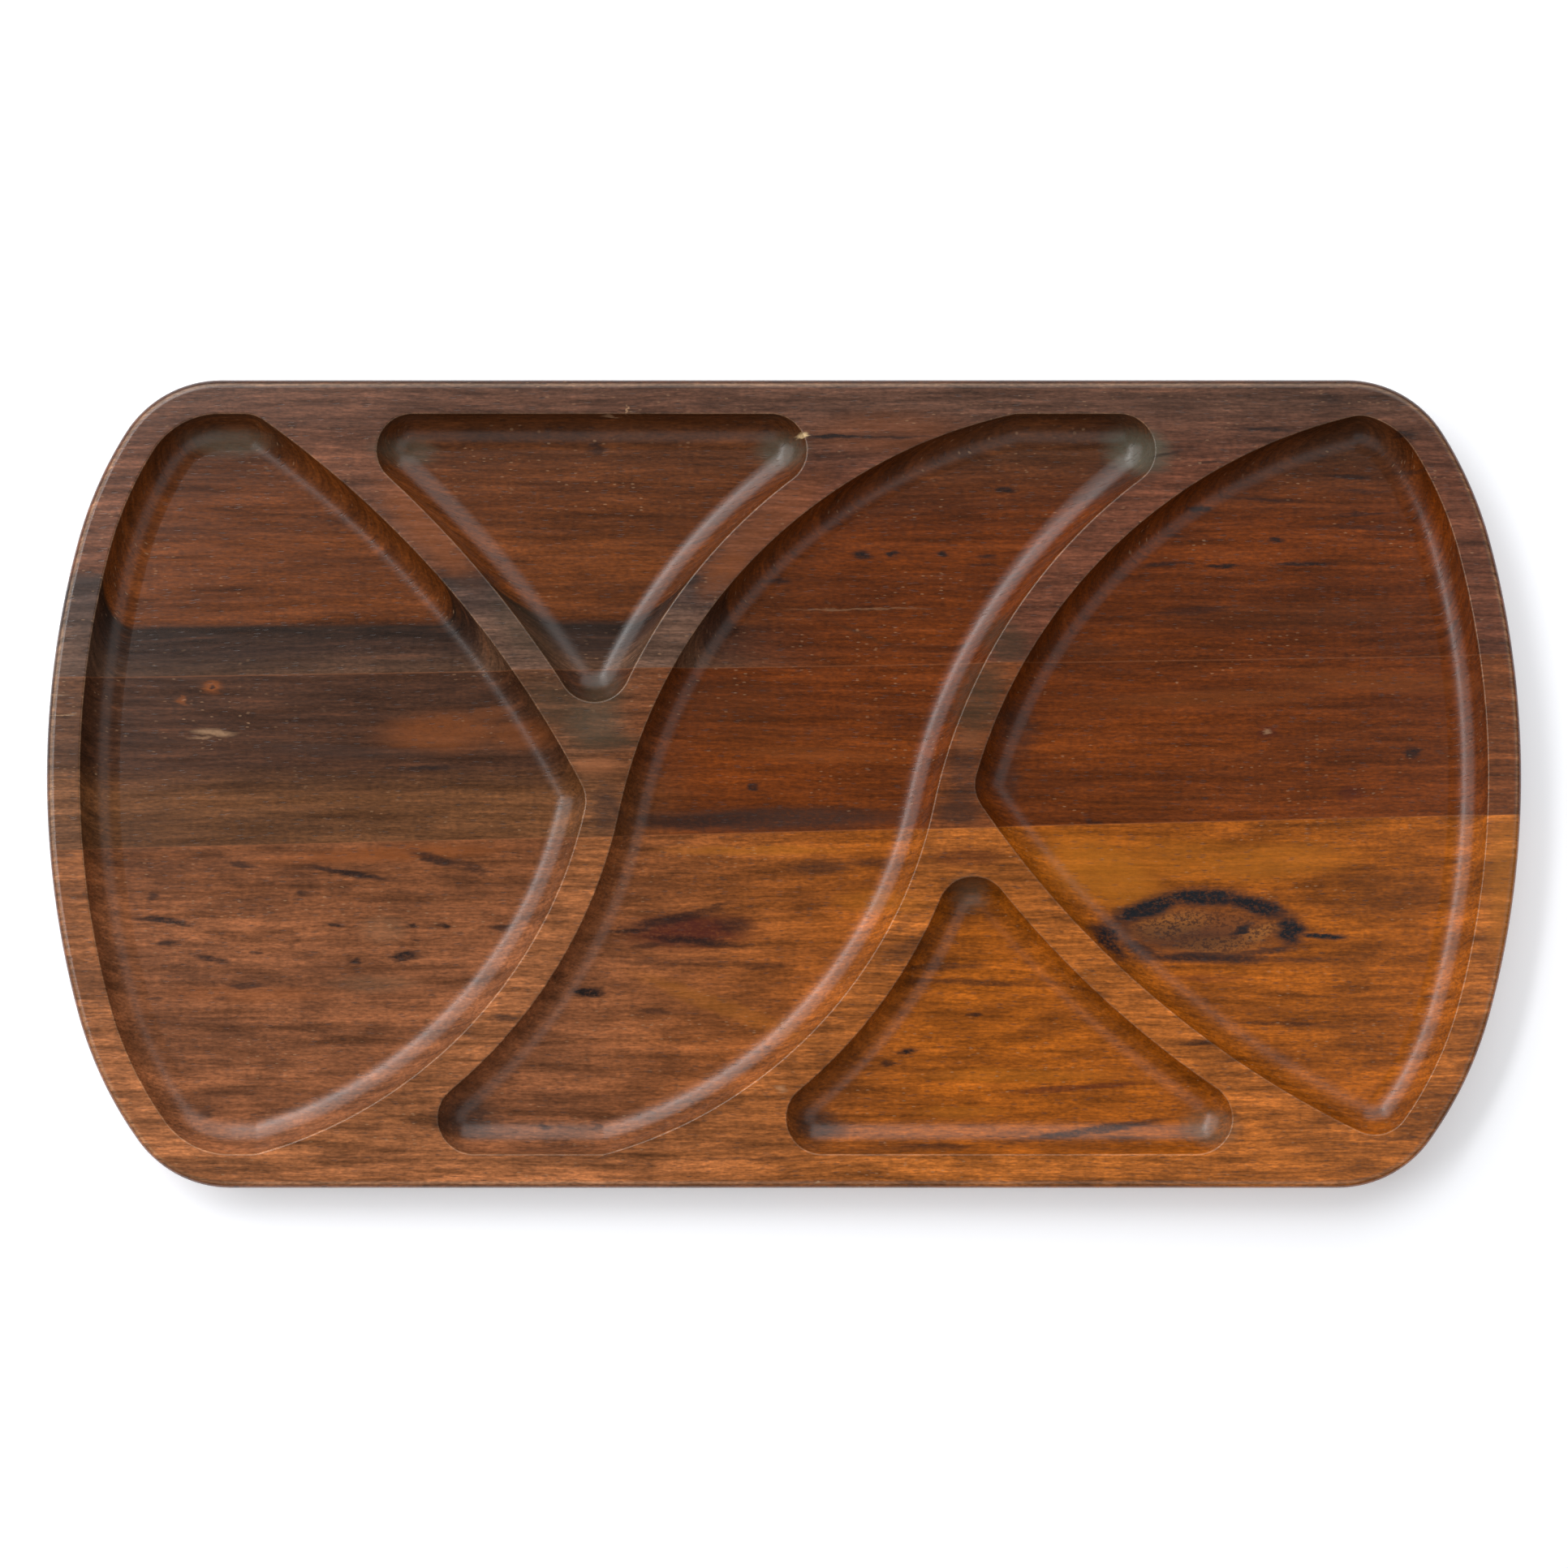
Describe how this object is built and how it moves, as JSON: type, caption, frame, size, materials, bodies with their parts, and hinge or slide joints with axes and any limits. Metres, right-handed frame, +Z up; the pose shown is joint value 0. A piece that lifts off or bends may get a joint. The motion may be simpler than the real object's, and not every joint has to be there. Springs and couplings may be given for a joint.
{
  "type": "divided serving tray",
  "caption": "Flat barrel-shaped wooden serving tray, glued up from staves, with scooped pockets set apart by curved ridges.",
  "frame": {"origin": "centre of the tray's underside", "axes": "+X to the right along the length, +Y towards the back, +Z up out of the pockets"},
  "size_m": [0.5, 0.274, 0.02],
  "materials": {
    "wood_back": "satin oil",
    "wood_middle": "satin oil",
    "wood_front": "satin oil"
  },
  "bodies": {
    "root": {"stave_back": "wood_back", "stave_middle": "wood_middle", "stave_front": "wood_front"}
  },
  "joints": []
}
